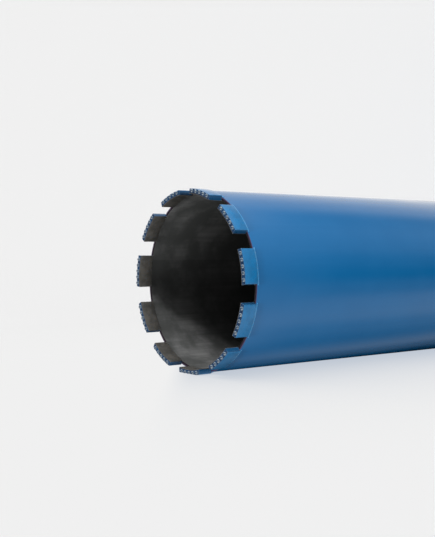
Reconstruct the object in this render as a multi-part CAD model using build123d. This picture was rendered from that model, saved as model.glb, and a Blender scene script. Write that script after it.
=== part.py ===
from build123d import *

import math
import os

# A wet diamond core bit, standing on its hub with the crown up. All sizes are in millimetres.
# +Z is the turning axis, from the hub to the crown. The origin is the centre of the hub's end face.

# Crown: pressed and sintered segments, butt-welded on the tube's front end face
crown_diameter = 132.0        # across the segments, the size that the bit is sold by
segment_count = 11
segment_length = 24.0         # across the block, between its two parallel ends
segment_thickness = 3.9
segment_height = 11.2         # the block alone
segment_tip_chamfer = 0.4     # along the tip's two long edges
segment_corner_radius = 0.8   # at the two ends of the tip
nub_count = 5
nub_diameter = 2.9
nub_inset = 1.6               # from the crown's outside to the circle of the nubs' centres
nub_rise = 0.9                # how far a nub stands above the block's tip
nub_root = 1.2                # how deep a nub's straight root is sunk in the block
nub_end_margin = 1.6          # from the last nub to the block's end
nub_sides = 12                # a nub is a small faceted dome: its sides and its steps in height
nub_steps = 3

# Barrel: the drawn tube that follows the segments into the cut
barrel_cut_clearance = 1.0    # how far its outside stays inside the segments' outer faces
barrel_wall = 2.3
useful_length = 450.0         # from the back plate's inner face to the segments' tips
barrel_edge_break = 0.3       # small chamfer at the tube's rear end

# Back plate: a turned disc welded over the tube's rear end, with a step that centres it
back_plate_thickness = 6.0
back_plate_step = 4.0         # height of the step inside the tube
back_plate_bevel = 1.2        # weld bevel round the rim
back_plate_clearance = 0.15   # radial play of the step in the tube

# Hub: a turned boss with six wrench flats and the female spindle thread, 1 1/4 inch - 7 UNC
hub_flats = 41.0              # across the wrench flats
hub_flats_height = 26.0
hub_corner_chamfer = 1.2      # the lathe-turned chamfer on the hexagon's corners
hub_collar_diameter = 52.0
hub_collar_height = 10.0
hub_collar_bevel = 1.5
hub_spigot_diameter = 34.0
hub_spigot_clearance = 0.1    # radial play of the spigot in the back plate
hub_face_break = 0.6          # edge break round the spigot's inner end
thread_minor_diameter = 28.2  # tapping size of the spindle thread
thread_length = 28.0
thread_relief_diameter = 32.6 # plain mouth ahead of the thread, clear of its major diameter
thread_relief_depth = 3.0
water_passage_diameter = 16.0

# Places along the axis
collar_bottom = hub_flats_height
plate_bottom = collar_bottom + hub_collar_height
plate_top = plate_bottom + back_plate_thickness
plate_inner_face = plate_top + back_plate_step
tip_height = plate_inner_face + useful_length
block_top = tip_height - nub_rise
barrel_top = block_top - segment_height

# Radii that pieces share
segment_outer_radius = crown_diameter / 2
barrel_radius = segment_outer_radius - barrel_cut_clearance
barrel_bore_radius = barrel_radius - barrel_wall
segment_mid_radius = segment_outer_radius - segment_thickness / 2
nub_circle_radius = segment_outer_radius - nub_inset
plate_hole_radius = hub_spigot_diameter / 2 + hub_spigot_clearance


def tube(outer_radius, inner_radius, bottom, top, bottom_break=0.0):
    """A plain ring with an optional small chamfer on its lower outer edge."""
    section = Polyline(
        (inner_radius, 0, bottom),
        (outer_radius - bottom_break, 0, bottom),
        (outer_radius, 0, bottom + bottom_break),
        (outer_radius, 0, top),
        (inner_radius, 0, top),
        close=True,
    )
    return revolve(make_face(section), Axis.Z)


def make_barrel():
    return tube(barrel_radius, barrel_bore_radius, plate_top, barrel_top, barrel_edge_break)


def segment_blank():
    """The ring that all segments are slices of, with its two tip edges chamfered."""
    section = Pos(segment_mid_radius, 0, barrel_top + segment_height / 2) * (
        Plane.XZ * Rectangle(segment_thickness, segment_height)
    )
    tip_corners = section.vertices().group_by(Axis.Z)[-1]
    return revolve(chamfer(tip_corners, segment_tip_chamfer), Axis.Z)


def segment_outline():
    """The segment seen along its radius: parallel ends and rounded tip corners, pushed out along +X."""
    outline = Pos(0, 0, barrel_top + segment_height / 2) * (
        Plane.YZ * Rectangle(segment_length, segment_height)
    )
    tip_corners = outline.vertices().group_by(Axis.Z)[-1]
    reach = segment_outer_radius + segment_thickness
    return extrude(fillet(tip_corners, segment_corner_radius), reach, dir=(1, 0, 0))


def nub_angles():
    """Angles of one segment's nubs, evenly spread between the two end margins."""
    end_inset = nub_end_margin + nub_diameter / 2
    last = math.degrees(math.asin((segment_length / 2 - end_inset) / nub_circle_radius))
    return [last * (2 * i / (nub_count - 1) - 1) for i in range(nub_count)]


def nub_ring(slope, height):
    """Corners of the level outline that a nub has where its dome has closed in by the given slope."""
    radius = nub_diameter / 2 * math.cos(slope)
    turns = [i * 2 * math.pi / nub_sides for i in range(nub_sides)]
    return [Vector(radius * math.cos(turn), radius * math.sin(turn), height) for turn in turns]


def make_nub():
    """A round-topped nub: a straight root sunk in the block, then steps that close in to a flat top."""
    shoulder = tip_height - nub_rise
    last_slope = math.pi / 2 * (1 - 1 / nub_steps)
    rings = [nub_ring(0, shoulder - nub_root)]
    for step in range(nub_steps):
        slope = math.pi / 2 * step / nub_steps
        rings.append(nub_ring(slope, shoulder + nub_rise * math.sin(slope) / math.sin(last_slope)))
    sides = [
        Face(Wire.make_polygon([lower[i - 1], lower[i], upper[i], upper[i - 1]]))
        for lower, upper in zip(rings, rings[1:])
        for i in range(nub_sides)
    ]
    ends = [Face(Wire.make_polygon(rings[0])), Face(Wire.make_polygon(rings[-1]))]
    return Solid(Shell(sides + ends))


def make_segment():
    """One cutting segment, centred on +X: an arc block with a row of round nubs on its tip."""
    segment = segment_blank() & segment_outline()
    nub = Pos(nub_circle_radius, 0, 0) * make_nub()
    for angle in nub_angles():
        segment += Rot(0, 0, angle) * nub
    return segment


def make_back_plate():
    """The disc, with a bevelled rim, its centring step and the hole for the hub's spigot."""
    step_radius = barrel_bore_radius - back_plate_clearance
    rim_bottom = plate_bottom + back_plate_bevel
    rim_top = plate_top - back_plate_bevel
    section = Polyline(
        (plate_hole_radius, 0, plate_bottom),
        (barrel_radius - back_plate_bevel, 0, plate_bottom),
        (barrel_radius, 0, rim_bottom),
        (barrel_radius, 0, rim_top),
        (barrel_radius - back_plate_bevel, 0, plate_top),
        (step_radius, 0, plate_top),
        (step_radius, 0, plate_inner_face),
        (plate_hole_radius, 0, plate_inner_face),
        close=True,
    )
    return revolve(make_face(section), Axis.Z)


def hexagon_part():
    """The six wrench flats, with both ends' corners turned down to a shallow cone."""
    prism = extrude(RegularPolygon(hub_flats / 2, 6, major_radius=False), hub_flats_height)
    corner_radius = hub_flats / math.sqrt(3)
    cone_height = hub_corner_chamfer / math.sqrt(3)
    turned = Polyline(
        (0, 0, 0),
        (corner_radius - hub_corner_chamfer, 0, 0),
        (corner_radius, 0, cone_height),
        (corner_radius, 0, hub_flats_height),
        (0, 0, hub_flats_height),
        close=True,
    )
    return prism & revolve(make_face(turned), Axis.Z)


def make_hub():
    """Hexagon, welding collar and spigot in one piece, bored through for the thread and the water."""
    collar_radius = hub_collar_diameter / 2
    spigot_radius = hub_spigot_diameter / 2
    turned = Polyline(
        (0, 0, collar_bottom),
        (collar_radius - hub_collar_bevel, 0, collar_bottom),
        (collar_radius, 0, collar_bottom + hub_collar_bevel),
        (collar_radius, 0, plate_bottom),
        (spigot_radius, 0, plate_bottom),
        (spigot_radius, 0, plate_inner_face - hub_face_break),
        (spigot_radius - hub_face_break, 0, plate_inner_face),
        (0, 0, plate_inner_face),
        close=True,
    )
    thread_top = thread_relief_depth + thread_length
    relief_radius = thread_relief_diameter / 2
    minor_radius = thread_minor_diameter / 2
    passage_radius = water_passage_diameter / 2
    drill_point = (minor_radius - passage_radius) / math.sqrt(3)
    bored = Polyline(
        (0, 0, 0),
        (relief_radius, 0, 0),
        (relief_radius, 0, thread_relief_depth),
        (minor_radius, 0, thread_relief_depth),
        (minor_radius, 0, thread_top),
        (passage_radius, 0, thread_top + drill_point),
        (passage_radius, 0, plate_inner_face),
        (0, 0, plate_inner_face),
        close=True,
    )
    blank = hexagon_part() + revolve(make_face(turned), Axis.Z)
    return blank - revolve(make_face(bored), Axis.Z)


def save(name, shape):
    """Write one piece as a single named solid."""
    solid = shape.solid()
    solid.label = name
    export_step(solid, f"parts/{name}.step")


os.makedirs("parts", exist_ok=True)
save("barrel", make_barrel())
save("back_plate", make_back_plate())
save("hub", make_hub())
master_segment = make_segment()
for index in range(segment_count):
    turned_segment = Rot(0, 0, index * 360 / segment_count) * master_segment
    save(f"segment_{index + 1:02d}", turned_segment)
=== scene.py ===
import math
import random

import bmesh
import bpy
from mathutils import Matrix, Vector


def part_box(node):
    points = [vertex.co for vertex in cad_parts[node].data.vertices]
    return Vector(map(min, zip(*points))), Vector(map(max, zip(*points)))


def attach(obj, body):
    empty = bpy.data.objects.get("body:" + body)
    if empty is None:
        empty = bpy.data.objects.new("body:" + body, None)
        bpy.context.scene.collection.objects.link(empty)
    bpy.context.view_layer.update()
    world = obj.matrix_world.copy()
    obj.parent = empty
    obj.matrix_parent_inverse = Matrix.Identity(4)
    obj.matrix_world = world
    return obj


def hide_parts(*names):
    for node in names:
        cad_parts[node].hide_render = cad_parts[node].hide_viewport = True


mm = 0.001  # sizes below are written in millimetres
near = 0.01 * mm  # places closer than this are the same
sharp = 0.8  # radians between two faces; past this their edge is a corner
levelFace = 0.9  # a face lies level where this much of its normal is along the axis
noiseSpan = (0.3, 0.7)  # most values of a noise lie between these

print("core bit: loading the frame")
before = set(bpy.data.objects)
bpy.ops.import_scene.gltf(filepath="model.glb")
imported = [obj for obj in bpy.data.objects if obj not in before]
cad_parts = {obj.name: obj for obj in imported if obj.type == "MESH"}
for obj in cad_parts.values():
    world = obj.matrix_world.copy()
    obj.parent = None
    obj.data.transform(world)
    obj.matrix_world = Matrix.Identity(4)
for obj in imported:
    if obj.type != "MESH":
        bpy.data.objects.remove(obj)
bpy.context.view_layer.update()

barrelLow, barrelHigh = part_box("barrel")
plateLow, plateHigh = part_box("back_plate")
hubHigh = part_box("hub")[1]
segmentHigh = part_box("segment_01")[1]
segmentNodes = sorted(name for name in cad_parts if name.startswith("segment_"))

barrelRadius = barrelHigh.x
barrelTop = barrelHigh.z
segmentOuter = segmentHigh.x
tipHeight = segmentHigh.z


# helpers for object and edit mode
def deselectAll():
    active = bpy.context.view_layer.objects.active
    if active and active.mode != "OBJECT":
        bpy.ops.object.mode_set(mode="OBJECT")
    bpy.ops.object.select_all(action="DESELECT")


def makeActive(piece):
    deselectAll()
    piece.select_set(True)
    bpy.context.view_layer.objects.active = piece


def startEdit(piece, kind):
    makeActive(piece)
    bpy.ops.object.mode_set(mode="EDIT")
    bpy.ops.mesh.select_mode(type=kind)
    bpy.ops.mesh.select_all(action="SELECT")


def stopEdit():
    bpy.ops.object.mode_set(mode="OBJECT")


def pickFaces(piece, wanted):
    bpy.ops.mesh.select_mode(type="FACE")
    bpy.ops.mesh.select_all(action="DESELECT")
    edited = bmesh.from_edit_mesh(piece.data)
    for face in edited.faces:
        if wanted(face.calc_center_median(), face.normal):
            face.select_set(True)
    edited.select_flush_mode()
    bmesh.update_edit_mesh(piece.data)


def pickEdges(piece, wanted):
    bpy.ops.mesh.select_mode(type="EDGE")
    bpy.ops.mesh.select_all(action="DESELECT")
    edited = bmesh.from_edit_mesh(piece.data)
    for edge in edited.edges:
        if wanted(edge.verts[0].co, edge.verts[1].co, edge.calc_face_angle(0)):
            edge.select_set(True)
    edited.select_flush_mode()
    bmesh.update_edit_mesh(piece.data)


def facesUp(centre, normal):
    return normal.z > levelFace


def facesDown(centre, normal):
    return normal.z < -levelFace


def extrudeUp(height):
    bpy.ops.mesh.extrude_region_move(TRANSFORM_OT_translate={"value": (0, 0, height)})


def cutOff(place, outwards):
    bpy.ops.mesh.select_all(action="SELECT")
    bpy.ops.mesh.bisect(plane_co=place, plane_no=outwards, use_fill=True, clear_outer=True)


def freshNormals():
    bpy.ops.mesh.select_all(action="SELECT")
    bpy.ops.mesh.remove_doubles(threshold=0.002 * mm)
    bpy.ops.mesh.normals_make_consistent(inside=False)


def fixPlace(piece):
    makeActive(piece)
    bpy.ops.object.transform_apply(location=True, rotation=True, scale=True)


def useModifier(piece, kind, **settings):
    makeActive(piece)
    modifier = piece.modifiers.new(kind.title(), kind)
    for name, value in settings.items():
        setattr(modifier, name, value)
    bpy.ops.object.modifier_apply(modifier=modifier.name)


def carve(piece, operation, tool):
    useModifier(piece, "BOOLEAN", operation=operation, solver="EXACT", object=tool)
    bpy.data.objects.remove(tool)


def joinPieces(pieces):
    makeActive(pieces[0])
    for other in pieces[1:]:
        other.select_set(True)
    bpy.ops.object.join()
    return pieces[0]


def addCylinder(radius, bottom, top, sides):
    deselectAll()
    bpy.ops.mesh.primitive_cylinder_add(
        vertices=sides, radius=radius, depth=top - bottom, location=(0, 0, (bottom + top) / 2)
    )
    cylinder = bpy.context.object
    fixPlace(cylinder)
    return cylinder


def finishPiece(piece, name, material, node=None, smoothAngle=35):
    makeActive(piece)
    bpy.ops.object.shade_smooth_by_angle(angle=math.radians(smoothAngle))
    piece.name = name
    piece.data.name = name
    piece.data.materials.clear()
    piece.data.materials.append(material)
    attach(piece, "root")
    if node:
        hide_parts(node)


# helpers for node trees: a value may be a number, a colour or another node's output
def feed(tree, socket, value):
    if isinstance(value, bpy.types.NodeSocket):
        tree.links.new(value, socket)
    else:
        socket.default_value = value


def maths(tree, operation, first, second=0.0, third=0.0):
    node = tree.nodes.new("ShaderNodeMath")
    node.operation = operation
    for socket, value in zip(node.inputs, (first, second, third)):
        feed(tree, socket, value)
    return node.outputs[0]


def rangeOf(tree, value, low, high, toLow=0.0, toHigh=1.0):
    node = tree.nodes.new("ShaderNodeMapRange")
    node.interpolation_type = "SMOOTHSTEP"
    for socket, given in zip(node.inputs, (value, low, high, toLow, toHigh)):
        feed(tree, socket, given)
    return node.outputs[0]


def fadeBelow(tree, value, top, depths):
    # 0 at the first depth below the top (or in from the outside), 1 at the second
    return rangeOf(tree, value, top - depths[0], top - depths[1])


def mixColours(tree, amount, first, second):
    node = tree.nodes.new("ShaderNodeMix")
    node.data_type = "RGBA"  # whose colours are sockets 6 and 7
    for socket, value in zip((node.inputs[0], node.inputs[6], node.inputs[7]), (amount, first, second)):
        feed(tree, socket, value)
    return node.outputs[2]


def mixValues(tree, amount, first, second):
    node = tree.nodes.new("ShaderNodeMix")
    for socket, value in zip((node.inputs[0], node.inputs[2], node.inputs[3]), (amount, first, second)):
        feed(tree, socket, value)
    return node.outputs[0]


def stretched(tree, vector, factors):
    node = tree.nodes.new("ShaderNodeVectorMath")
    node.operation = "MULTIPLY"
    feed(tree, node.inputs[0], vector)
    feed(tree, node.inputs[1], factors)
    return node.outputs[0]


def noiseOf(tree, vector, size, detail=3.0, roughness=0.5):
    node = tree.nodes.new("ShaderNodeTexNoise")
    feed(tree, node.inputs["Vector"], vector)
    feed(tree, node.inputs["Scale"], size if isinstance(size, bpy.types.NodeSocket) else 1 / size)
    feed(tree, node.inputs["Detail"], detail)
    feed(tree, node.inputs["Roughness"], roughness)
    return node.outputs[0]


def bumpOf(tree, height, strength, distance):
    node = tree.nodes.new("ShaderNodeBump")
    feed(tree, node.inputs["Height"], height)
    node.inputs["Strength"].default_value = strength
    node.inputs["Distance"].default_value = distance
    return node.outputs[0]


def newMaterial(name, **sockets):
    material = bpy.data.materials.new(name)
    material.use_nodes = True
    tree = material.node_tree
    shader = tree.nodes["Principled BSDF"]
    for socketName, value in sockets.items():
        shader.inputs[socketName].default_value = value
    places = tree.nodes.new("ShaderNodeTexCoord").outputs["Object"]
    return material, tree, shader, places


def newGroup(name, inputs, outputs):
    group = bpy.data.node_groups.new(name, "ShaderNodeTree")
    for socketName, kind, value in inputs:
        socket = group.interface.new_socket(name=socketName, in_out="INPUT", socket_type=kind)
        if value is not None:
            socket.default_value = value
    for socketName, kind in outputs:
        group.interface.new_socket(name=socketName, in_out="OUTPUT", socket_type=kind)
    return group, group.nodes.new("NodeGroupInput"), group.nodes.new("NodeGroupOutput")


def useGroup(tree, group, output, **inputs):
    node = tree.nodes.new("ShaderNodeGroup")
    node.node_tree = group
    for socketName, value in inputs.items():
        feed(tree, node.inputs[socketName], value)
    return node.outputs[output]


# what the shared effects have alike in every material; their Scale is in patches per metre
# the edge values shape the mask of worn edges, which on the segments places a painted edge highlight
effectSetup = {
    "streakStretch": 0.015,  # along the axis, against 1 across it
    "edgeSamples": 6,
    "edgeTurn": (0.99, 0.80),  # cosine of the rounded normal's turn, for no wear and for full wear
    "edgePatch": 0.9 * mm,
    "edgeSoftness": 0.15,
}


def makeAxisGroup():
    # distance from the turning axis, height along it, and degrees round it from +X
    group, given, result = newGroup(
        "axisPlace",
        [("Vector", "NodeSocketVector", None)],
        [("Radius", "NodeSocketFloat"), ("Height", "NodeSocketFloat"), ("Azimuth", "NodeSocketFloat")],
    )
    flat = stretched(group, given.outputs["Vector"], (1, 1, 0))
    length = group.nodes.new("ShaderNodeVectorMath")
    length.operation = "LENGTH"
    feed(group, length.inputs[0], flat)
    parts = group.nodes.new("ShaderNodeSeparateXYZ")
    feed(group, parts.inputs[0], given.outputs["Vector"])
    feed(group, result.inputs["Radius"], length.outputs["Value"])
    feed(group, result.inputs["Height"], parts.outputs["Z"])
    turned = maths(group, "ARCTAN2", parts.outputs["Y"], parts.outputs["X"])
    feed(group, result.inputs["Azimuth"], maths(group, "DEGREES", turned))
    return group


def makeDrawnGroup():
    # long streaks that run with the turning axis, as drawing leaves them
    group, given, result = newGroup(
        "drawnStreaks",
        [("Vector", "NodeSocketVector", None), ("Scale", "NodeSocketFloat", 1000.0)],
        [("Streaks", "NodeSocketFloat")],
    )
    along = stretched(group, given.outputs["Vector"], (1, 1, effectSetup["streakStretch"]))
    streaks = noiseOf(group, along, given.outputs["Scale"], detail=3.0, roughness=0.6)
    feed(group, result.inputs["Streaks"], streaks)
    return group


def makeGrainGroup():
    # sintered or blasted grain: small pits between rounded grains
    group, given, result = newGroup(
        "metalGrain",
        [("Vector", "NodeSocketVector", None), ("Scale", "NodeSocketFloat", 2000.0)],
        [("Height", "NodeSocketFloat")],
    )
    cells = group.nodes.new("ShaderNodeTexVoronoi")
    feed(group, cells.inputs["Vector"], given.outputs["Vector"])
    feed(group, cells.inputs["Scale"], given.outputs["Scale"])
    cloudy = noiseOf(group, given.outputs["Vector"], given.outputs["Scale"], detail=4.0, roughness=0.7)
    feed(group, result.inputs["Height"], maths(group, "MULTIPLY", cells.outputs["Distance"], cloudy))
    return group


def makeStainGroup():
    # soft patches, 0 to 1
    group, given, result = newGroup(
        "softPatches",
        [
            ("Vector", "NodeSocketVector", None),
            ("Scale", "NodeSocketFloat", 60.0),
            ("Low", "NodeSocketFloat", 0.35),
            ("High", "NodeSocketFloat", 0.65),
        ],
        [("Mask", "NodeSocketFloat")],
    )
    cloudy = noiseOf(group, given.outputs["Vector"], given.outputs["Scale"], detail=5.0, roughness=0.6)
    patches = rangeOf(group, cloudy, given.outputs["Low"], given.outputs["High"])
    feed(group, result.inputs["Mask"], patches)
    return group


def makeEdgeGroup():
    # 1 on sharp edges, broken up by noise so that the line isn't even; it marks worn edges, and on the
    # segments a painted edge highlight
    group, given, result = newGroup(
        "edgeWearAndSheen",
        [
            ("Vector", "NodeSocketVector", None),
            ("Width", "NodeSocketFloat", 0.3 * mm),
            ("Amount", "NodeSocketFloat", 0.5),
        ],
        [("Mask", "NodeSocketFloat")],
    )
    rounded = group.nodes.new("ShaderNodeBevel")
    rounded.samples = effectSetup["edgeSamples"]
    feed(group, rounded.inputs["Radius"], given.outputs["Width"])
    actual = group.nodes.new("ShaderNodeNewGeometry")
    facing = group.nodes.new("ShaderNodeVectorMath")
    facing.operation = "DOT_PRODUCT"
    feed(group, facing.inputs[0], rounded.outputs[0])
    feed(group, facing.inputs[1], actual.outputs["Normal"])
    edge = rangeOf(group, facing.outputs["Value"], *effectSetup["edgeTurn"])
    broken = noiseOf(group, given.outputs["Vector"], effectSetup["edgePatch"], detail=4.0, roughness=0.7)
    threshold = maths(group, "SUBTRACT", 1.0, given.outputs["Amount"])
    ends = maths(group, "ADD", threshold, effectSetup["edgeSoftness"])
    wornAndSheen = rangeOf(group, broken, threshold, ends)
    feed(group, result.inputs["Mask"], maths(group, "MULTIPLY", edge, wornAndSheen))
    return group


print("core bit: shared effects")
axisPlace = makeAxisGroup()
drawnStreaks = makeDrawnGroup()
metalGrain = makeGrainGroup()
softPatches = makeStainGroup()
edgeWearAndSheen = makeEdgeGroup()


# gloss paint outside, drawn steel inside with painted shade deeper in and in a band round one side, and a
# dark end face
barrelFinish = {
    "blue": (0.006, 0.160, 0.420, 1),
    "blueLight": (0.010, 0.178, 0.455, 1),
    "steel": (0.540, 0.537, 0.540, 1),
    "steelDark": (0.170, 0.176, 0.173, 1),
    # painted shade: the dark colour the inside fades to with depth and in the darker band
    "deepShadeColour": (0.012, 0.013, 0.013, 1),
    "depth": (12 * mm, 75 * mm),  # over this depth the inside darkens
    "depthShade": 0.62,
    "endFace": (0.030, 0.020, 0.026, 1),
    "endEdge": (0.085, 0.056, 0.115, 1),
    "insideStarts": (0.5 * mm, 0.7 * mm),  # below the outside
    "endEdgeStarts": (1.2 * mm, 0.7 * mm),
    "endStarts": (0.14 * mm, 0.06 * mm),  # below the mouth
    "insideMetal": 0.35,
    "paintRoughness": (0.17, 0.24),
    "steelRoughness": (0.36, 0.52),
    "coatRoughness": 0.09,
    "wearAndSheen": {"Width": 0.25 * mm, "Amount": 0.45},
    "streaks": {"Scale": 420.0},
    "patches": {"Scale": 22.0},
    "stains": {"Scale": 34.0, "Low": 0.40, "High": 0.68},
    "fineLines": {"Scale": 2600.0},
    "orangePeel": 1.1 * mm,
    "orangePeelDepth": 0.5,  # against the steel's lines
    "skinBump": 0.25,
    "skinDepth": 0.02 * mm,
}

# painted shade inside: a darker band round one side, with a straight edge, then deeper, then a ragged
# edge that spreads with depth
shadeBandFinish = {
    "start": (24.4, 25.6),  # degrees from +X, as the next two
    "rise": (25, 43),
    "end": (62, 48),
    "shade": (0.28, 0.58),
    "spread": 40,  # degrees, over the depth that follows
    "spreadDepth": 70 * mm,
    "waves": 34,  # degrees, at the size that follows
    "waveSize": 19 * mm,
}


def shadeBandOf(tree, places, height):
    f = shadeBandFinish
    around = useGroup(tree, axisPlace, "Azimuth", Vector=places)
    start = rangeOf(tree, around, *f["start"])
    shade = rangeOf(tree, around, *f["rise"], *f["shade"])
    cloudy = noiseOf(tree, places, f["waveSize"], detail=1.0)
    waves = maths(tree, "MULTIPLY_ADD", cloudy, f["waves"], -f["waves"] / 2)
    spread = rangeOf(tree, height, barrelTop, barrelTop - f["spreadDepth"], 0.0, f["spread"])
    farSide = maths(tree, "ADD", maths(tree, "SUBTRACT", around, spread), waves)
    end = rangeOf(tree, farSide, *f["end"])
    return maths(tree, "MULTIPLY", maths(tree, "MULTIPLY", start, end), shade)


def makeBarrelMaterial():
    f = barrelFinish
    material, tree, shader, places = newMaterial("barrelPaint", IOR=1.5)
    radius = useGroup(tree, axisPlace, "Radius", Vector=places)
    height = useGroup(tree, axisPlace, "Height", Vector=places)
    inside = fadeBelow(tree, radius, barrelRadius, f["insideStarts"])
    rim = fadeBelow(tree, height, barrelTop, f["endStarts"])
    wornAndSheen = useGroup(tree, edgeWearAndSheen, "Mask", Vector=places, **f["wearAndSheen"])
    bare = maths(tree, "MAXIMUM", inside, maths(tree, "MAXIMUM", rim, wornAndSheen))
    streaks = useGroup(tree, drawnStreaks, "Streaks", Vector=places, **f["streaks"])
    patches = useGroup(tree, softPatches, "Mask", Vector=places, **f["patches"])
    fineLines = useGroup(tree, drawnStreaks, "Streaks", Vector=places, **f["fineLines"])

    paint = mixColours(tree, maths(tree, "MULTIPLY", streaks, patches), f["blue"], f["blueLight"])
    stains = useGroup(tree, softPatches, "Mask", Vector=places, **f["stains"])
    steel = mixColours(tree, maths(tree, "MULTIPLY", stains, streaks), f["steelDark"], f["steel"])
    # painted shade: the inside's colour darkens deeper in the tube
    shallow, deep = (barrelTop - depth for depth in f["depth"])
    shade = rangeOf(tree, height, shallow, deep, 0.0, f["depthShade"])
    steel = mixColours(tree, shade, steel, f["deepShadeColour"])
    # painted shade: the darker band round one side of the inside
    steel = mixColours(tree, shadeBandOf(tree, places, height), steel, f["deepShadeColour"])
    edge = fadeBelow(tree, radius, barrelRadius, f["endEdgeStarts"])
    steel = mixColours(tree, rim, steel, mixColours(tree, edge, f["endFace"], f["endEdge"]))
    feed(tree, shader.inputs["Base Color"], mixColours(tree, bare, paint, steel))
    feed(tree, shader.inputs["Metallic"], maths(tree, "MULTIPLY", inside, f["insideMetal"]))
    paintRoughness = rangeOf(tree, patches, 0.0, 1.0, *f["paintRoughness"])
    steelRoughness = rangeOf(tree, fineLines, *noiseSpan, *f["steelRoughness"])
    feed(tree, shader.inputs["Roughness"], mixValues(tree, bare, paintRoughness, steelRoughness))
    feed(tree, shader.inputs["Coat Weight"], maths(tree, "SUBTRACT", 1.0, bare))
    shader.inputs["Coat Roughness"].default_value = f["coatRoughness"]
    orangePeel = noiseOf(tree, places, f["orangePeel"], detail=2.0)
    orangePeel = maths(tree, "MULTIPLY", orangePeel, f["orangePeelDepth"])
    skin = mixValues(tree, bare, orangePeel, fineLines)
    feed(tree, shader.inputs["Normal"], bumpOf(tree, skin, f["skinBump"], f["skinDepth"]))
    return material


# thin blue paint over sintered metal, and polished nubs, with painted shade on the paint off the outer
# face and a painted highlight on sharp edges; places are depths below the outside or the tip
segmentFinish = {
    "blue": (0.013, 0.230, 0.545, 1),
    # painted shade on the paint off the outer face, and random mottle
    "blueShadeAndMottle": (0.010, 0.095, 0.235, 1),
    # painted highlight: the pale blue along the segments' sharp edges
    "edge": (0.420, 0.590, 0.740, 1),
    "nub": (0.700, 0.840, 0.950, 1),
    "tip": (0.010, 0.030, 0.085, 1),
    "sinter": (0.265, 0.247, 0.220, 1),
    "sinterDark": (0.165, 0.156, 0.140, 1),
    "speckle": (0.14, 0.40, 0.72, 1),
    "outerFace": (0.5 * mm, 0.1 * mm),
    "paintEnds": (3.15 * mm, 3.60 * mm),
    "paintRagged": 0.25 * mm,
    "tipStarts": (1.45 * mm, 1.25 * mm),
    "nubStarts": (1.10 * mm, 1.00 * mm),
    "nubEnds": (0.14 * mm, 0.24 * mm),
    "nubMetal": 0.85,
    "sinterMetal": 0.55,
    "paintRoughness": (0.26, 0.38),
    "sinterRoughness": 0.5,
    "tipRoughness": 0.15,
    "coatRoughness": 0.06,
    "wearAndSheen": {"Width": 0.4 * mm, "Amount": 0.72},
    "edgeHighlight": 0.8,
    "patches": {"Scale": 170.0},
    "patchShade": 0.35,
    "speckles": {"Scale": 1500.0, "Low": 0.56, "High": 0.66},
    "speckleShade": 0.25,
    "grain": {"Scale": 2600.0},
    "grainBump": 0.3,
    "grainDepth": 0.05 * mm,
    "tipPolish": 0.8,  # how much of the grain the tip has lost
}


def makeSegmentMaterial():
    f = segmentFinish
    material, tree, shader, places = newMaterial("segmentPaint", IOR=1.5)
    radius = useGroup(tree, axisPlace, "Radius", Vector=places)
    height = useGroup(tree, axisPlace, "Height", Vector=places)
    grain = useGroup(tree, metalGrain, "Height", Vector=places, **f["grain"])
    patches = useGroup(tree, softPatches, "Mask", Vector=places, **f["patches"])
    speckles = useGroup(tree, softPatches, "Mask", Vector=places, **f["speckles"])
    wornAndSheen = useGroup(tree, edgeWearAndSheen, "Mask", Vector=places, **f["wearAndSheen"])

    # the paint mist reaches the outside, the ends and the tip, and fades out on the inner face
    ragged = maths(tree, "MULTIPLY_ADD", patches, f["paintRagged"], radius)
    bare = fadeBelow(tree, ragged, segmentOuter, f["paintEnds"])
    outerFace = fadeBelow(tree, radius, segmentOuter, f["outerFace"])
    tip = fadeBelow(tree, height, tipHeight, f["tipStarts"])
    nubFoot = fadeBelow(tree, height, tipHeight, f["nubStarts"])
    nub = maths(tree, "MULTIPLY", nubFoot, fadeBelow(tree, height, tipHeight, f["nubEnds"]))

    # painted shade: off the outer face, on the ends, the same paint is darker
    paint = mixColours(tree, outerFace, f["blueShadeAndMottle"], f["blue"])
    paint = mixColours(tree, tip, paint, f["tip"])
    paint = mixColours(tree, nub, paint, f["nub"])
    # painted highlight: sharp edges lightened toward a pale blue
    paint = mixColours(tree, maths(tree, "MULTIPLY", wornAndSheen, f["edgeHighlight"]), paint, f["edge"])
    paint = mixColours(tree, maths(tree, "MULTIPLY", patches, f["patchShade"]), paint, f["blueShadeAndMottle"])
    sinter = mixColours(tree, patches, f["sinterDark"], f["sinter"])
    colour = mixColours(tree, bare, paint, sinter)
    speckled = maths(tree, "MULTIPLY", speckles, f["speckleShade"])
    colour = mixColours(tree, speckled, colour, f["speckle"])
    feed(tree, shader.inputs["Base Color"], colour)
    sinterMetal = maths(tree, "MULTIPLY", bare, f["sinterMetal"])
    nubMetal = maths(tree, "MULTIPLY", nub, f["nubMetal"])
    feed(tree, shader.inputs["Metallic"], maths(tree, "MAXIMUM", sinterMetal, nubMetal))
    roughness = rangeOf(tree, patches, 0.0, 1.0, *f["paintRoughness"])
    roughness = mixValues(tree, bare, roughness, f["sinterRoughness"])
    roughness = mixValues(tree, tip, roughness, f["tipRoughness"])
    feed(tree, shader.inputs["Roughness"], roughness)
    feed(tree, shader.inputs["Coat Weight"], maths(tree, "SUBTRACT", 1.0, bare))
    shader.inputs["Coat Roughness"].default_value = f["coatRoughness"]
    grainLeft = maths(tree, "MULTIPLY_ADD", tip, -f["tipPolish"], 1.0)
    grainHeight = maths(tree, "MULTIPLY", grain, grainLeft)
    feed(tree, shader.inputs["Normal"], bumpOf(tree, grainHeight, f["grainBump"], f["grainDepth"]))
    return material


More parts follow.
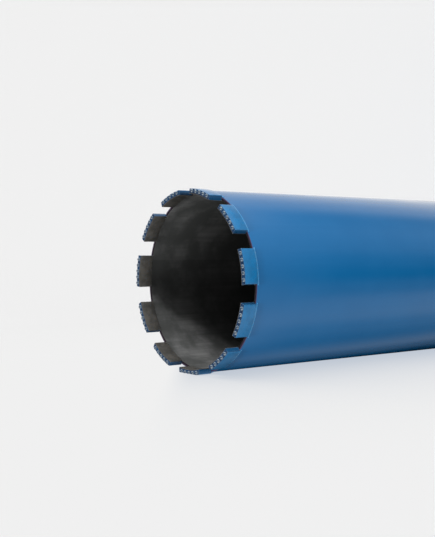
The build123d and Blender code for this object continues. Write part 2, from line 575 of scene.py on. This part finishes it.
# bright beads and spatter inside, and outside a paint much lighter than the tube's, a painted highlight
# along the joint
weldFinish = {
    # painted highlight: the outside bead's blue is lighter than the tube's, so the joint shows as a light
    # line
    "paint": (0.060, 0.400, 0.800, 1),
    "burnt": (0.090, 0.078, 0.070, 1),
    "bright": (0.85, 0.84, 0.82, 1),
    "paintStarts": (1.2 * mm, 0.8 * mm),  # below the tube's outside
    "paintWear": 0.12,
    "metal": (0.8, 0.05),  # bare and painted
    "roughness": (0.42, 0.24),
    "patches": {"Scale": 700.0, "Low": 0.46, "High": 0.56},
    "ripple": 0.5 * mm,
    "rippleBump": 0.5,
    "rippleDepth": 0.08 * mm,
}


def makeWeldMaterial():
    f = weldFinish
    material, tree, shader, places = newMaterial("weldBead", IOR=1.5)
    radius = useGroup(tree, axisPlace, "Radius", Vector=places)
    outside = fadeBelow(tree, radius, barrelRadius, f["paintStarts"])
    patches = useGroup(tree, softPatches, "Mask", Vector=places, **f["patches"])
    metal = mixColours(tree, patches, f["burnt"], f["bright"])
    paint = mixColours(tree, maths(tree, "MULTIPLY", patches, f["paintWear"]), f["paint"], f["bright"])
    feed(tree, shader.inputs["Base Color"], mixColours(tree, outside, metal, paint))
    feed(tree, shader.inputs["Metallic"], mixValues(tree, outside, *f["metal"]))
    feed(tree, shader.inputs["Roughness"], rangeOf(tree, patches, 0.0, 1.0, *f["roughness"]))
    ripples = noiseOf(tree, places, f["ripple"], detail=2.0)
    feed(tree, shader.inputs["Normal"], bumpOf(tree, ripples, f["rippleBump"], f["rippleDepth"]))
    return material


# bright turned steel
turnedFinish = {
    "steel": (0.47, 0.465, 0.46, 1),
    "shade": (0.33, 0.325, 0.32, 1),
    "roughness": (0.24, 0.40),
    "patches": {"Scale": 45.0},
    "toolMark": 0.28 * mm,
    "markBump": 0.35,
    "markDepth": 0.03 * mm,
}


def turnedRings(tree, places):
    # fine tool marks: rings round the axis, on faces and on shoulders alike
    radius = useGroup(tree, axisPlace, "Radius", Vector=places)
    height = useGroup(tree, axisPlace, "Height", Vector=places)
    both = tree.nodes.new("ShaderNodeCombineXYZ")
    feed(tree, both.inputs["X"], radius)
    feed(tree, both.inputs["Y"], height)
    return noiseOf(tree, both.outputs[0], turnedFinish["toolMark"], detail=2.0)


def makeHubMaterial():
    f = turnedFinish
    material, tree, shader, places = newMaterial("turnedSteel", Metallic=1.0)
    rings = turnedRings(tree, places)
    patches = useGroup(tree, softPatches, "Mask", Vector=places, **f["patches"])
    feed(tree, shader.inputs["Base Color"], mixColours(tree, patches, f["shade"], f["steel"]))
    feed(tree, shader.inputs["Roughness"], rangeOf(tree, rings, *noiseSpan, *f["roughness"]))
    feed(tree, shader.inputs["Normal"], bumpOf(tree, rings, f["markBump"], f["markDepth"]))
    return material


# the barrel's paint over turned steel, bare inside
plateFinish = {
    "insideStarts": (3.9 * mm, 3.7 * mm),  # below the plate's inner face
    "bareMetal": 0.6,
    "paintRoughness": (0.22, 0.30),
    "bareRoughness": 0.4,
    "coatRoughness": 0.12,
    "wearAndSheen": {"Width": 0.4 * mm, "Amount": 0.5},
    "patches": {"Scale": 40.0},
    "markBump": 0.3,
}


def makePlateMaterial():
    f = plateFinish
    material, tree, shader, places = newMaterial("platePaint", IOR=1.5)
    rings = turnedRings(tree, places)
    height = useGroup(tree, axisPlace, "Height", Vector=places)
    patches = useGroup(tree, softPatches, "Mask", Vector=places, **f["patches"])
    wornAndSheen = useGroup(tree, edgeWearAndSheen, "Mask", Vector=places, **f["wearAndSheen"])
    inside = fadeBelow(tree, height, plateHigh.z, f["insideStarts"])
    bare = maths(tree, "MAXIMUM", inside, wornAndSheen)
    steel = mixColours(tree, patches, barrelFinish["steelDark"], barrelFinish["steel"])
    feed(tree, shader.inputs["Base Color"], mixColours(tree, bare, barrelFinish["blue"], steel))
    feed(tree, shader.inputs["Metallic"], maths(tree, "MULTIPLY", bare, f["bareMetal"]))
    paintRoughness = rangeOf(tree, patches, 0.0, 1.0, *f["paintRoughness"])
    feed(tree, shader.inputs["Roughness"], mixValues(tree, bare, paintRoughness, f["bareRoughness"]))
    feed(tree, shader.inputs["Coat Weight"], maths(tree, "SUBTRACT", 1.0, bare))
    shader.inputs["Coat Roughness"].default_value = f["coatRoughness"]
    feed(tree, shader.inputs["Normal"], bumpOf(tree, rings, f["markBump"], turnedFinish["markDepth"]))
    return material


print("core bit: materials")
barrelMaterial = makeBarrelMaterial()
segmentMaterial = makeSegmentMaterial()
weldMaterial = makeWeldMaterial()
hubMaterial = makeHubMaterial()
plateMaterial = makePlateMaterial()


# the drawn tube
barrelShape = {
    "sides": 256,
    "wall": 2.3 * mm,
    "rimBreak": 0.22 * mm,
    "rimRounds": 2,
}


def modelBarrel():
    s = barrelShape
    deselectAll()
    bpy.ops.mesh.primitive_circle_add(
        vertices=s["sides"], radius=barrelRadius, location=(0, 0, barrelLow.z)
    )
    tube = bpy.context.object
    fixPlace(tube)
    startEdit(tube, "EDGE")
    extrudeUp(barrelTop - barrelLow.z)
    freshNormals()
    stopEdit()
    useModifier(tube, "SOLIDIFY", thickness=s["wall"], offset=-1.0, use_even_offset=True)
    startEdit(tube, "EDGE")
    pickEdges(tube, lambda a, b, angle: abs(a.z - b.z) < near and angle > sharp)
    bpy.ops.mesh.bevel(offset=s["rimBreak"], segments=s["rimRounds"], affect="EDGES")
    stopEdit()
    finishPiece(tube, "barrelTube", barrelMaterial, "barrel")


# the crown: one segment with its nubs, copied round
segmentShape = {
    "length": 24.0 * mm,
    "thickness": 3.9 * mm,
    "blockHeight": 10.9 * mm,
    "arcSteps": 24,
    "arcOverrun": 0.03,  # radians past each end, cut off again
    "cornerRadius": 0.8 * mm,
    "cornerRounds": 5,
    "edgeBreak": 0.3 * mm,
    "edgeRounds": 2,
    "nubs": 5,
    "nubRadius": 1.35 * mm,
    "nubRise": 1.2 * mm,
    "nubInset": 1.6 * mm,
    "nubEndMargin": 1.7 * mm,
    "nubSides": 20,
    "nubRings": 12,
}


def nubAngles():
    s = segmentShape
    reach = s["length"] / 2 - s["nubEndMargin"] - s["nubRadius"]
    last = math.asin(reach / (segmentOuter - s["nubInset"]))
    return [last * (2 * i / (s["nubs"] - 1) - 1) for i in range(s["nubs"])]


def modelSegmentBlock():
    s = segmentShape
    middle = segmentOuter - s["thickness"] / 2
    halfArc = math.asin(s["length"] / 2 / middle) + s["arcOverrun"]
    halfWay = barrelTop + s["blockHeight"] / 2
    deselectAll()
    bpy.ops.mesh.primitive_plane_add(
        size=1,
        location=(middle * math.cos(halfArc), -middle * math.sin(halfArc), halfWay),
        rotation=(math.pi / 2, 0, -halfArc),
    )
    block = bpy.context.object
    block.scale = (s["thickness"], s["blockHeight"], 1)
    fixPlace(block)
    startEdit(block, "FACE")
    bpy.ops.mesh.spin(steps=s["arcSteps"], angle=-2 * halfArc, center=(0, 0, 0), axis=(0, 0, 1))
    for side in (-1, 1):  # the two ends are parallel
        cutOff((0, side * s["length"] / 2, 0), (0, side, 0))
    freshNormals()
    top = barrelTop + s["blockHeight"]

    def tipCorner(a, b, angle):
        atEnd = abs(abs(a.y) - s["length"] / 2) < near and abs(a.y - b.y) < near
        return atEnd and min(a.z, b.z) > top - near

    pickEdges(block, tipCorner)
    bpy.ops.mesh.bevel(offset=s["cornerRadius"], segments=s["cornerRounds"], affect="EDGES")
    pickEdges(block, lambda a, b, angle: angle > sharp and max(a.z, b.z) > barrelTop + near)
    bpy.ops.mesh.bevel(offset=s["edgeBreak"], segments=s["edgeRounds"], affect="EDGES")
    stopEdit()
    return block


def modelNub(angle):
    s = segmentShape
    circle = segmentOuter - s["nubInset"]
    deselectAll()
    bpy.ops.mesh.primitive_uv_sphere_add(
        segments=s["nubSides"], ring_count=s["nubRings"], radius=s["nubRadius"]
    )
    nub = bpy.context.object
    nub.scale = (1, 1, s["nubRise"] / s["nubRadius"])
    nub.location = (circle * math.cos(angle), circle * math.sin(angle), barrelTop + s["blockHeight"])
    fixPlace(nub)
    return nub


def modelSegments():
    block = modelSegmentBlock()
    nubs = joinPieces([modelNub(angle) for angle in nubAngles()])
    carve(block, "UNION", nubs)
    turn = 2 * math.pi / len(segmentNodes)
    for index, node in enumerate(segmentNodes):
        copied = block.copy()
        copied.data = block.data.copy()
        bpy.context.scene.collection.objects.link(copied)
        copied.rotation_euler.z = index * turn
        fixPlace(copied)
        finishPiece(copied, f"crownSegment_{index + 1:02d}", segmentMaterial, node)
    bpy.data.objects.remove(block)


# the welds and their spatter
dropShape = {
    "radius": (0.25 * mm, 0.50 * mm),
    "perSegment": 9,
    "nearJoint": 2.2 * mm,
    "inFromEnd": 0.25,  # share of the half segment, most drops lie nearer its end
    "seed": 7,
}

seamShape = {
    "outerRadius": 65.10 * mm,
    "outerDrop": 0.92 * mm,
    "overrun": 0.8 * mm,
    "innerRadius": 62.5 * mm,
    "bead": 0.42 * mm,
    "sides": 8,
    "steps": 60,
    "ripple": 0.12 * mm,
    "rippleSize": 0.9 * mm,
}

ringShape = {
    "sides": 10,
    "steps": 320,
    "rippleSize": 2.2 * mm,
}

ringWelds = {
    "rearWeld": {"radius": 64.55 * mm, "height": 41.65 * mm, "bead": 0.72 * mm, "ripple": 0.18 * mm},
    "hubWeld": {"radius": 26.2 * mm, "height": 35.5 * mm, "bead": 1.3 * mm, "ripple": 0.3 * mm},
}


def addRipples(bead, size, strength):
    cloud = bpy.data.textures.new("beadRipples", "CLOUDS")
    cloud.noise_scale = size
    cloud.noise_depth = 1
    useModifier(bead, "DISPLACE", texture=cloud, texture_coords="LOCAL", strength=strength, mid_level=0.5)


def modelBead(radius, height, beadRadius, sides, startAngle, arc, steps):
    whole = arc > math.pi  # a whole ring has no ends to close
    deselectAll()
    bpy.ops.mesh.primitive_circle_add(
        vertices=sides,
        radius=beadRadius,
        fill_type="NOTHING" if whole else "NGON",
        location=(radius * math.cos(startAngle), radius * math.sin(startAngle), height),
        rotation=(math.pi / 2, 0, startAngle),
    )
    bead = bpy.context.object
    fixPlace(bead)
    startEdit(bead, "EDGE" if whole else "FACE")
    bpy.ops.mesh.spin(steps=steps, angle=-arc, center=(0, 0, 0), axis=(0, 0, 1))
    freshNormals()
    stopEdit()
    return bead


def modelCrownSeams():
    s = seamShape
    halfArc = math.asin((segmentShape["length"] / 2 + s["overrun"]) / segmentOuter)
    turn = 2 * math.pi / len(segmentNodes)
    for index in range(len(segmentNodes)):
        beads = []
        for radius, drop in ((s["outerRadius"], s["outerDrop"]), (s["innerRadius"], 0)):
            start = index * turn - halfArc
            height = barrelTop - drop
            beads.append(modelBead(radius, height, s["bead"], s["sides"], start, 2 * halfArc, s["steps"]))
        seam = joinPieces(beads)
        addRipples(seam, s["rippleSize"], s["ripple"])
        finishPiece(seam, f"crownWeld_{index + 1:02d}", weldMaterial, smoothAngle=60)


def modelWeldDrops():
    # spatter beside the joints, inside the tube and on the segments' inner faces
    s = dropShape
    dice = random.Random(s["seed"])
    bore = barrelRadius - barrelShape["wall"]
    segmentInner = segmentOuter - segmentShape["thickness"]
    halfArc = math.asin(segmentShape["length"] / 2 / segmentOuter)
    turn = 2 * math.pi / len(segmentNodes)
    drops = []
    for index in range(len(segmentNodes) * s["perSegment"]):
        middle = index // s["perSegment"] * turn
        side = dice.choice((-1, 1))
        angle = middle + side * halfArc * (1 - s["inFromEnd"] * dice.random() ** 2)
        rise = dice.uniform(-s["nearJoint"], s["nearJoint"])
        radius = dice.uniform(*s["radius"])
        wall = segmentInner if rise > 0 else bore
        deselectAll()
        bpy.ops.mesh.primitive_ico_sphere_add(subdivisions=1, radius=radius)
        drop = bpy.context.object
        drop.location = (wall * math.cos(angle), wall * math.sin(angle), barrelTop + rise)
        drops.append(drop)
    spatter = joinPieces(drops)
    fixPlace(spatter)
    finishPiece(spatter, "weldSpatter", weldMaterial, smoothAngle=60)


def modelRingWelds():
    s = ringShape
    for name, weld in ringWelds.items():
        ring = modelBead(
            weld["radius"], weld["height"], weld["bead"], s["sides"], 0, 2 * math.pi, s["steps"]
        )
        addRipples(ring, s["rippleSize"], weld["ripple"])
        finishPiece(ring, name, plateMaterial, smoothAngle=60)


# the disc welded over the tube's rear end
plateShape = {
    "thickness": 6.0 * mm,
    "bevel": 1.2 * mm,
    "bevelRounds": 2,
    "stepRadius": 62.55 * mm,
    "holeRadius": 17.1 * mm,
    "sides": 160,
}


def modelBackPlate():
    s = plateShape
    stepFoot = plateLow.z + s["thickness"]
    disc = addCylinder(barrelRadius, plateLow.z, stepFoot, s["sides"])
    startEdit(disc, "FACE")
    pickFaces(disc, facesUp)
    bpy.ops.mesh.inset(thickness=barrelRadius - s["stepRadius"])
    extrudeUp(plateHigh.z - stepFoot)
    bpy.ops.mesh.inset(thickness=s["stepRadius"] - s["holeRadius"])
    pickFaces(disc, facesDown)
    bpy.ops.mesh.inset(thickness=barrelRadius - s["holeRadius"])
    pickFaces(disc, lambda centre, normal: abs(normal.z) > levelFace and centre.xy.length < near)
    bpy.ops.mesh.bridge_edge_loops()

    def onRim(a, b, angle):
        return angle > sharp and min(a.xy.length, b.xy.length) > barrelRadius - near

    pickEdges(disc, onRim)
    bpy.ops.mesh.bevel(offset=s["bevel"], segments=s["bevelRounds"], affect="EDGES")
    freshNormals()
    stopEdit()
    finishPiece(disc, "backPlate", plateMaterial, "back_plate")


# the boss with the wrench flats and the spindle thread
hubShape = {
    "flats": 41.0 * mm,
    "flatsHeight": 26.0 * mm,
    "cornerChamfer": 1.2 * mm,
    "collarRadius": 26.0 * mm,
    "collarTop": 36.0 * mm,
    "collarBevel": 1.5 * mm,
    "collarRounds": 3,
    "edgeBreak": 0.25 * mm,
    "edgeRounds": 2,
    "edgeAngle": 28,  # degrees between two faces, past which their edge is broken
    "spigotRadius": 17.0 * mm,
    "reliefRadius": 16.3 * mm,
    "reliefDepth": 3.0 * mm,
    "threadMajor": 15.875 * mm,
    "threadMinor": 14.1 * mm,
    "threadTop": 31.0 * mm,
    "threadPitch": 25.4 / 7 * mm,
    "ridgeFoot": 0.96,  # widths of the thread's ridge: at its foot as a share of the pitch
    "ridgeCrest": 0.16,  # and at its crest as a share of the foot
    "ridgeGap": 0.1 * mm,  # from the thread's two ends
    "ridgeSteps": 48,
    "passageRadius": 8.0 * mm,
    "overrun": 1 * mm,  # of the bore's cutter past both ends of the hub
    "sides": 96,
}


def modelHubBlank():
    s = hubShape
    corner = s["flats"] / math.sqrt(3)
    hexagon = addCylinder(corner, 0, s["flatsHeight"], 6)
    hexagon.rotation_euler.z = math.radians(30)
    fixPlace(hexagon)
    deselectAll()
    bpy.ops.mesh.primitive_cone_add(
        vertices=s["sides"],
        radius1=corner - s["cornerChamfer"],
        radius2=corner - s["cornerChamfer"] + s["flatsHeight"] * math.sqrt(3),
        depth=s["flatsHeight"],
        location=(0, 0, s["flatsHeight"] / 2),
    )
    cone = bpy.context.object
    fixPlace(cone)
    carve(hexagon, "INTERSECT", cone)
    collar = addCylinder(s["collarRadius"], s["flatsHeight"], s["collarTop"], s["sides"])
    startEdit(collar, "FACE")
    pickEdges(collar, lambda a, b, angle: max(a.z, b.z) < s["flatsHeight"] + near and angle > sharp)
    bpy.ops.mesh.bevel(offset=s["collarBevel"], segments=s["collarRounds"], affect="EDGES")
    pickFaces(collar, facesUp)
    bpy.ops.mesh.inset(thickness=s["collarRadius"] - s["spigotRadius"])
    extrudeUp(hubHigh.z - s["collarTop"])
    stopEdit()
    carve(hexagon, "UNION", collar)
    return hexagon


def modelBoreTool():
    s = hubShape
    drillPoint = s["threadTop"] + (s["threadMinor"] - s["passageRadius"]) / math.sqrt(3)
    tool = addCylinder(s["reliefRadius"], -s["overrun"], s["reliefDepth"], s["sides"])
    startEdit(tool, "FACE")
    pickFaces(tool, facesUp)
    bpy.ops.mesh.inset(thickness=s["reliefRadius"] - s["threadMajor"])
    extrudeUp(s["threadTop"] - s["reliefDepth"])
    bpy.ops.mesh.inset(thickness=s["threadMajor"] - s["threadMinor"])
    extrudeUp(drillPoint - s["threadTop"])
    shrink = s["passageRadius"] / s["threadMinor"]
    bpy.ops.transform.resize(value=(shrink, shrink, 1), center_override=(0, 0, drillPoint))
    extrudeUp(hubHigh.z + s["overrun"] - drillPoint)
    stopEdit()
    return tool


def modelThread():
    s = hubShape
    turns = (s["threadTop"] - s["reliefDepth"]) / s["threadPitch"] + 1
    start = s["reliefDepth"] - s["threadPitch"] / 2
    deselectAll()
    bpy.ops.mesh.primitive_plane_add(
        size=1,
        location=((s["threadMajor"] + s["threadMinor"]) / 2, 0, start),
        rotation=(math.pi / 2, 0, 0),
    )
    ridge = bpy.context.object
    ridge.scale = (s["threadMajor"] - s["threadMinor"], s["threadPitch"] * s["ridgeFoot"], 1)
    fixPlace(ridge)
    startEdit(ridge, "EDGE")
    pickEdges(ridge, lambda a, b, angle: max(a.x, b.x) < s["threadMinor"] + near)
    bpy.ops.transform.resize(
        value=(1, 1, s["ridgeCrest"]), center_override=(s["threadMinor"], 0, start)
    )
    pickFaces(ridge, lambda centre, normal: True)
    bpy.ops.mesh.delete(type="ONLY_FACE")
    stopEdit()
    useModifier(
        ridge,
        "SCREW",
        axis="Z",
        angle=2 * math.pi,
        screw_offset=s["threadPitch"],
        steps=s["ridgeSteps"],
        render_steps=s["ridgeSteps"],
        iterations=math.ceil(turns),
        use_smooth_shade=False,
    )
    startEdit(ridge, "FACE")
    cutOff((0, 0, s["reliefDepth"] + s["ridgeGap"]), (0, 0, -1))
    cutOff((0, 0, s["threadTop"] - s["ridgeGap"]), (0, 0, 1))
    freshNormals()
    stopEdit()
    return ridge


def modelHub():
    s = hubShape
    hub = modelHubBlank()
    carve(hub, "DIFFERENCE", modelBoreTool())
    useModifier(
        hub,
        "BEVEL",
        width=s["edgeBreak"],
        segments=s["edgeRounds"],
        limit_method="ANGLE",
        angle_limit=math.radians(s["edgeAngle"]),
    )
    finishPiece(hub, "turnedHub", hubMaterial, "hub")
    finishPiece(modelThread(), "spindleThread", hubMaterial)


print("core bit: barrel")
modelBarrel()
print("core bit: crown")
modelSegments()
modelCrownSeams()
modelWeldDrops()
print("core bit: back plate and hub")
modelBackPlate()
modelRingWelds()
modelHub()


# fitted so that the crown and the tube's edges fall in place
cameraSetup = {
    "place": (-393.66 * mm, -343.59 * mm, 864.62 * mm),
    "target": (5.54 * mm, -6.61 * mm, 467.06 * mm),
    "uprightAzimuth": -51.64,  # the camera is rolled so that this side of the tube is up
    "lens": 60.6,
    "shift": 0.0009,
    "clipStart": 0.01,
}


def addCamera():
    s = cameraSetup
    place = Vector(s["place"])
    forward = (Vector(s["target"]) - place).normalized()
    azimuth = math.radians(s["uprightAzimuth"])
    right = forward.cross(Vector((math.cos(azimuth), math.sin(azimuth), 0))).normalized()
    up = right.cross(forward)
    camera = bpy.data.objects.new("camera", bpy.data.cameras.new("camera"))
    camera.data.lens = s["lens"]
    camera.data.shift_y = s["shift"]
    camera.data.clip_start = s["clipStart"]
    camera.matrix_world = Matrix.Translation(place) @ Matrix((right, up, -forward)).transposed().to_4x4()
    bpy.context.scene.collection.objects.link(camera)
    bpy.context.scene.camera = camera


worldLight = {
    "background": 0.871,
    "behindAzimuth": 38.4,  # the bright side, in degrees from +X
    # degrees clockwise from the bright side, and brightness there
    "below": (
        (0, 0.70), (25, 0.85), (50, 0.70), (74, 0.52), (96, 0.18), (120, 0.26), (139, 0.22), (157, 0.08),
        (174, 0.00), (191, 0.14), (209, 0.40), (225, 0.42), (244, 0.18), (262, 0.08), (284, 0.20),
        (300, 0.06), (318, 0.00), (350, 0.00), (359, 0.50),
    ),
    "level": (
        (0, 0.80), (30, 0.85), (60, 0.90), (90, 0.80), (130, 0.35), (170, 0.20), (200, 0.32), (225, 0.50),
        (250, 0.34), (280, 0.10), (330, 0.05), (359, 0.70),
    ),
    "overhead": (
        (0, 0.08), (60, 0.05), (90, 0.05), (130, 0.00), (160, 0.00), (200, 0.06), (235, 0.18),
        (270, 0.74), (310, 0.22), (359, 0.08),
    ),
    # rise of the direction over which one band of light gives way to the next
    "levelFrom": (-0.50, -0.30),
    "overheadFrom": (0.12, 0.40),
}


def roundRamp(tree, around, stops):
    ramp = tree.nodes.new("ShaderNodeValToRGB")
    ramp.color_ramp.interpolation = "EASE"
    while len(ramp.color_ramp.elements) < len(stops):
        ramp.color_ramp.elements.new(0.5)
    for element, (degrees, value) in zip(ramp.color_ramp.elements, stops):
        element.position = degrees / 360
        element.color = (value, value, value, 1)
    feed(tree, ramp.inputs[0], around)
    return ramp.outputs[0]


def lightWorld():
    s = worldLight
    world = bpy.data.worlds.new("studio")
    bpy.context.scene.world = world
    world.use_nodes = True
    tree = world.node_tree
    background = tree.nodes["Background"]
    direction = tree.nodes.new("ShaderNodeTexCoord").outputs["Generated"]
    parts = tree.nodes.new("ShaderNodeSeparateXYZ")
    feed(tree, parts.inputs[0], direction)
    azimuth = maths(tree, "ARCTAN2", parts.outputs["Y"], parts.outputs["X"])
    clockwise = maths(tree, "SUBTRACT", math.radians(s["behindAzimuth"]), azimuth)
    around = maths(tree, "FRACT", maths(tree, "DIVIDE", clockwise, 2 * math.pi))
    level = rangeOf(tree, parts.outputs["Z"], *s["levelFrom"])
    raised = rangeOf(tree, parts.outputs["Z"], *s["overheadFrom"])
    lower, middle, upper = (roundRamp(tree, around, s[band]) for band in ("below", "level", "overhead"))
    studio = mixColours(tree, raised, mixColours(tree, level, lower, middle), upper)
    seen = tree.nodes.new("ShaderNodeLightPath").outputs["Is Camera Ray"]
    plain = (s["background"], s["background"], s["background"], 1)
    feed(tree, background.inputs["Color"], mixColours(tree, seen, studio, plain))


lamps = {
    # degrees from +X, degrees above the floor, strength, softness in degrees
    "keyLamp": (-48, 28, 1.85, 22),
    "frontLamp": (-134, 2, 1.44, 14),
    "topLamp": (0, 90, 1.64, 9),
}


def addLamps():
    for name, (azimuth, height, strength, softness) in lamps.items():
        data = bpy.data.lights.new(name, "SUN")
        data.energy = strength
        data.angle = math.radians(softness)
        lamp = bpy.data.objects.new(name, data)
        a, h = math.radians(azimuth), math.radians(height)
        towards = Vector((math.cos(a) * math.cos(h), math.sin(a) * math.cos(h), math.sin(h)))
        lamp.rotation_euler = towards.to_track_quat("Z", "Y").to_euler()
        lamp.visible_glossy = False  # what the gloss shows comes from the world's soft bands
        bpy.context.scene.collection.objects.link(lamp)


# a floor under the hub and a pale card beside the tube, in metres
stageSetup = {
    "floorSides": 96,
    "floorRadius": 2.5,
    "floorFade": (2.6, 0.5),  # clear at the first radius, past its rim, and solid at the second
    "floorGrey": 0.88,
    "cardSize": 1.2,
    "cardFade": (0.16, 0.42),  # solid within the first radius, clear past the second
    "cardRise": (0.24, 0.06),  # solid above the first height, clear below the second
    "cardShade": (0.60, 0.66, 0.75, 1),
    "cardShadeReach": 0.35,
    "cardShadePower": 0.85,
    "cardShadeSamples": 8,
    "cardShadeTop": (0.514, 0.488),  # ahead of the crown the card stays clean, from a slanting line
    "cardShadeSlant": 0.8,
}


def addFloor():
    s = stageSetup
    deselectAll()
    bpy.ops.mesh.primitive_circle_add(
        vertices=s["floorSides"], radius=s["floorRadius"], fill_type="NGON"
    )
    floor = bpy.context.object
    floor.name = "floor"
    material, tree, shader, places = newMaterial("paleFloor", Roughness=1.0)
    shader.inputs["Specular IOR Level"].default_value = 0.0
    grey = s["floorGrey"]
    shader.inputs["Base Color"].default_value = (grey, grey, grey, 1)
    radius = useGroup(tree, axisPlace, "Radius", Vector=places)
    feed(tree, shader.inputs["Alpha"], rangeOf(tree, radius, *s["floorFade"]))
    floor.data.materials.append(material)
    floor.visible_glossy = False
    floor.visible_diffuse = False


def makeCardMaterial(azimuth):
    s = stageSetup
    material = bpy.data.materials.new("paleCard")
    material.use_nodes = True
    tree = material.node_tree
    tree.nodes.clear()
    places = tree.nodes.new("ShaderNodeTexCoord").outputs["Object"]
    radius = useGroup(tree, axisPlace, "Radius", Vector=places)
    height = useGroup(tree, axisPlace, "Height", Vector=places)

    # the shade where the tube is close, up to the slanting line
    closeBy = tree.nodes.new("ShaderNodeAmbientOcclusion")
    closeBy.samples = s["cardShadeSamples"]
    closeBy.inputs["Distance"].default_value = s["cardShadeReach"]
    slant = tree.nodes.new("ShaderNodeVectorMath")
    slant.operation = "DOT_PRODUCT"
    across = s["cardShadeSlant"]
    feed(tree, slant.inputs[0], places)
    feed(tree, slant.inputs[1], (-across * math.sin(azimuth), across * math.cos(azimuth), 1))
    shaded = rangeOf(tree, slant.outputs["Value"], *s["cardShadeTop"])
    hidden = maths(tree, "SUBTRACT", 1.0, closeBy.outputs["AO"])
    hidden = maths(tree, "POWER", hidden, s["cardShadePower"])
    hidden = maths(tree, "MULTIPLY", hidden, shaded)
    glow = tree.nodes.new("ShaderNodeEmission")
    feed(tree, glow.inputs["Color"], mixColours(tree, hidden, (1, 1, 1, 1), s["cardShade"]))
    glow.inputs["Strength"].default_value = worldLight["background"]

    # clear at its back, near the floor and far out to the sides
    clear = tree.nodes.new("ShaderNodeBsdfTransparent")
    farOut = rangeOf(tree, radius, *s["cardFade"])
    low = rangeOf(tree, height, *s["cardRise"])
    behind = tree.nodes.new("ShaderNodeNewGeometry").outputs["Backfacing"]
    unseen = maths(tree, "MAXIMUM", maths(tree, "MAXIMUM", farOut, low), behind)
    blend = tree.nodes.new("ShaderNodeMixShader")
    feed(tree, blend.inputs[0], unseen)
    feed(tree, blend.inputs[1], glow.outputs[0])
    feed(tree, blend.inputs[2], clear.outputs[0])
    result = tree.nodes.new("ShaderNodeOutputMaterial")
    feed(tree, result.inputs["Surface"], blend.outputs[0])
    material.cycles.emission_sampling = "NONE"
    return material


def addBackCard():
    # a pale card that the tube touches on the side away from the key lamp; seen from its front only
    s = stageSetup
    azimuth = math.radians(cameraSetup["uprightAzimuth"])
    foot = Vector((math.cos(azimuth), math.sin(azimuth), 0)) * -barrelRadius
    deselectAll()
    bpy.ops.mesh.primitive_plane_add(
        size=s["cardSize"],
        location=(foot.x, foot.y, s["cardSize"] / 2),
        rotation=(0, math.pi / 2, azimuth),
    )
    card = bpy.context.object
    fixPlace(card)
    card.name = "backCard"
    card.data.materials.append(makeCardMaterial(azimuth))
    card.visible_diffuse = False
    card.visible_glossy = False
    card.visible_shadow = False


print("core bit: stage, light and camera")
addCamera()
lightWorld()
addLamps()
addFloor()
addBackCard()
bpy.context.scene.view_settings.view_transform = "Standard"
